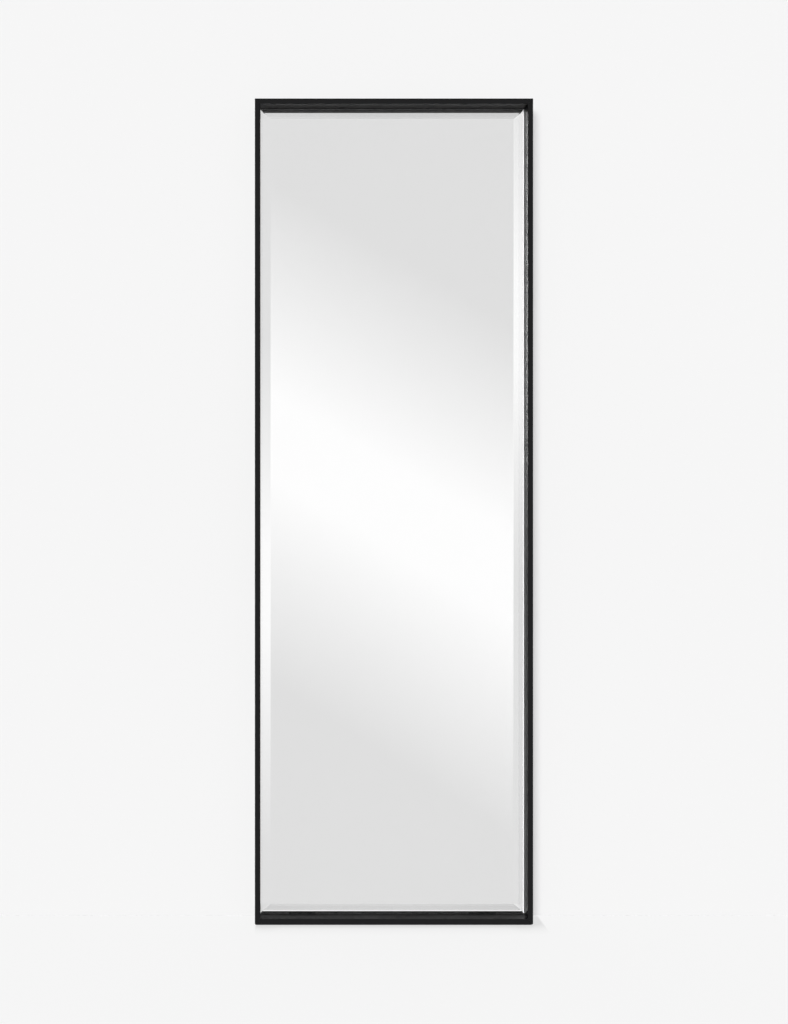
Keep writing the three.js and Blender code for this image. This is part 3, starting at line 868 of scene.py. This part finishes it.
def addPlane(name, corners, lit, share, contact):
    # the camera sees the paper's own tone with the object's shadow on it, cast by the lamp, and a painted
    # contact shadow where the object comes close; from behind it is clear
    material = bpy.data.materials.new(name)
    material.use_nodes = True
    tree = material.node_tree
    tree.nodes.clear()
    tone = toLinear(studio["paper"])[0]
    shadow = addNode(tree, "ShaderNodeBsdfDiffuse", {"Color": (share, share, share, 1)})
    # painted contact shadow: the paper's glow is dimmed where ambient occlusion finds the object close, and
    # faded out along X beside it
    corner = addNode(tree, "ShaderNodeAmbientOcclusion", {"Distance": studio["contactReach"]})
    point = addNode(tree, "ShaderNodeTexCoord").outputs["Object"]
    along = addNode(tree, "ShaderNodeSeparateXYZ", {0: point})
    offset = addNode(tree, "ShaderNodeMath", {0: along.outputs["X"], 1: studio["contactMiddle"]},
                     operation="SUBTRACT")
    aside = addNode(tree, "ShaderNodeMath", {0: offset.outputs[0]}, operation="ABSOLUTE")
    start, end = studio["contactEnd"]
    beside = addNode(tree, "ShaderNodeMapRange", {
        "Value": aside.outputs[0], "From Min": start, "From Max": end,
    })
    openness = addNode(tree, "ShaderNodeMath", {0: corner.outputs["AO"], 1: beside.outputs[0]},
                       operation="MAXIMUM")
    darkest, clearest = studio["contactOpen"]
    own = tone - share * lit    # the paper's own light, to which the lamps add the rest of its tone
    level = addNode(tree, "ShaderNodeMapRange", {
        "Value": openness.outputs[0], "From Min": darkest, "From Max": clearest,
        "To Min": own * (1 - contact), "To Max": own,
    })
    black, grey = studio["gapOpen"]
    gap = addNode(tree, "ShaderNodeMapRange", {
        "Value": corner.outputs["AO"], "From Min": black, "From Max": grey,
    })
    strength = addNode(tree, "ShaderNodeMath", {0: level.outputs[0], 1: gap.outputs[0]},
                       operation="MULTIPLY")
    glow = addNode(tree, "ShaderNodeEmission", {"Strength": strength.outputs[0]})
    shown = addNode(tree, "ShaderNodeAddShader", {0: shadow.outputs[0], 1: glow.outputs[0]})
    behind = addNode(tree, "ShaderNodeNewGeometry").outputs["Backfacing"]
    clear = addNode(tree, "ShaderNodeBsdfTransparent")
    either = addNode(tree, "ShaderNodeMixShader", {0: behind, 1: shown.outputs[0], 2: clear.outputs[0]})
    addNode(tree, "ShaderNodeOutputMaterial", {"Surface": either.outputs[0]})
    mesh = bpy.data.meshes.new(name)
    mesh.from_pydata(corners, [], [(0, 1, 2, 3)])
    mesh.materials.append(material)
    plane = newPiece(name, mesh)
    plane.visible_diffuse = False
    plane.visible_shadow = False
    plane.visible_glossy = False    # mirror, glass and metal show the same paper all round, from the world
    plane.visible_transmission = False


def addWorld():
    world = bpy.data.worlds.new("studio")
    bpy.context.scene.world = world
    world.use_nodes = True
    tree = world.node_tree
    tree.nodes.clear()
    tone = toLinear(studio["paper"])[0]
    towards = addNode(tree, "ShaderNodeTexCoord").outputs["Generated"]
    normal = Vector(studio["bandNormal"]).normalized()
    across = addNode(tree, "ShaderNodeVectorMath", {0: towards, 1: normal}, operation="DOT_PRODUCT")
    away = addNode(tree, "ShaderNodeMath", {0: across.outputs["Value"]}, operation="ABSOLUTE")
    outer, core = studio["bandHalfWidth"]
    band = addNode(tree, "ShaderNodeMapRange", {
        "Value": away.outputs[0], "From Min": outer, "From Max": core,
        "To Min": tone, "To Max": tone + studio["band"],
    })
    aim = Vector(studio["glowFrom"]).normalized()
    near = addNode(tree, "ShaderNodeVectorMath", {0: towards, 1: aim}, operation="DOT_PRODUCT")
    outer, core = [math.cos(math.radians(a)) for a in studio["glowAngle"]]
    glow = addNode(tree, "ShaderNodeMapRange", {
        "Value": near.outputs["Value"], "From Min": outer, "From Max": core, "To Max": studio["glow"],
    }, interpolation_type="SMOOTHSTEP")
    direction = addNode(tree, "ShaderNodeSeparateXYZ", {0: towards})
    start, end, dark = studio["flag"]
    flag = addNode(tree, "ShaderNodeMapRange", {
        "Value": direction.outputs["X"], "From Min": start, "From Max": end, "To Min": -dark, "To Max": 0.0,
    })
    lampAndFlag = addNode(tree, "ShaderNodeMath", {0: glow.outputs[0], 1: flag.outputs[0]}, operation="ADD")
    path = addNode(tree, "ShaderNodeLightPath").outputs
    # the frame shows them by way of the mirror, on the second glossy bounce, and the mirror itself doesn't
    thrown = addNode(tree, "ShaderNodeMath", {0: path["Glossy Depth"], 1: 2.0, 2: 0.5}, operation="COMPARE")
    sheen = addNode(tree, "ShaderNodeMath", {0: lampAndFlag.outputs[0], 1: thrown.outputs[0]},
                    operation="MULTIPLY")
    mirrored = addNode(tree, "ShaderNodeMath", {0: band.outputs[0], 1: sheen.outputs[0]}, operation="ADD")
    front, back = studio["fill"]
    fill = addNode(tree, "ShaderNodeMapRange", {
        "Value": direction.outputs["Y"], "From Min": -studio["fillBlend"], "From Max": studio["fillBlend"],
        "To Min": front, "To Max": back,
    })
    shiny = addNode(tree, "ShaderNodeMath", {0: path["Is Glossy Ray"], 1: path["Is Transmission Ray"]},
                    operation="MAXIMUM")
    lightOrView = addNode(tree, "ShaderNodeMix", {0: path["Is Camera Ray"], 2: fill.outputs[0], 3: tone})
    strength = addNode(tree, "ShaderNodeMix", {
        0: shiny.outputs[0], 2: lightOrView.outputs[0], 3: mirrored.outputs[0],
    })
    background = addNode(tree, "ShaderNodeBackground", {"Strength": strength.outputs[0]})
    background.inputs["Color"].default_value = (1, 1, 1, 1)
    addNode(tree, "ShaderNodeOutputWorld", {"Surface": background.outputs[0]})


def addStudio():
    left, up = [math.radians(a) for a in studio["sunFrom"]]
    direction = Vector((-math.sin(left) * math.cos(up), -math.cos(left) * math.cos(up), math.sin(up)))
    data = bpy.data.lights.new("sun", "SUN")
    data.energy = studio["sunPower"]
    data.angle = math.radians(studio["sunSize"])
    sun = bpy.data.objects.new("sun", data)
    sun.rotation_euler = direction.to_track_quat("Z", "Y").to_euler()
    sun.visible_glossy = False
    sun.visible_transmission = False
    bpy.context.scene.collection.objects.link(sun)

    reach, wallY = studio["reach"], cadBox[1][1] + studio["wallGap"]
    level = studio["sunPower"] / math.pi
    addPlane("floor", [(-reach, -reach, 0), (reach, -reach, 0), (reach, reach, 0), (-reach, reach, 0)],
             level * direction.z + sum(studio["fill"]) / 2, studio["floorShadow"], studio["contact"])
    addPlane("wall", [(-reach, wallY, 0), (reach, wallY, 0), (reach, wallY, reach), (-reach, wallY, reach)],
             level * -direction.y + studio["fill"][0], studio["wallShadow"], 0.0)
    addWorld()
    bpy.context.scene.view_settings.view_transform = "Standard"
    print("studio: floor, wall, sun and world")


addCamera()
coat, zinc, rubber = powderCoat(), zincPlate(), mouldedRubber()
addFrame(coat)
addMirror(floatGlass(), groundGlassPaintedGlow(), silvering())
addBoard(fibreboard())
addClips(zinc)
addScrews(zinc)
addHangers(zinc)
addFeet(rubber)
finishInside({
    "safety_film": safetyFilm(), "mounting_tape": foamTape(),
    "corner_key": castZinc(), "setting_block": rubber,
})
addStudio()
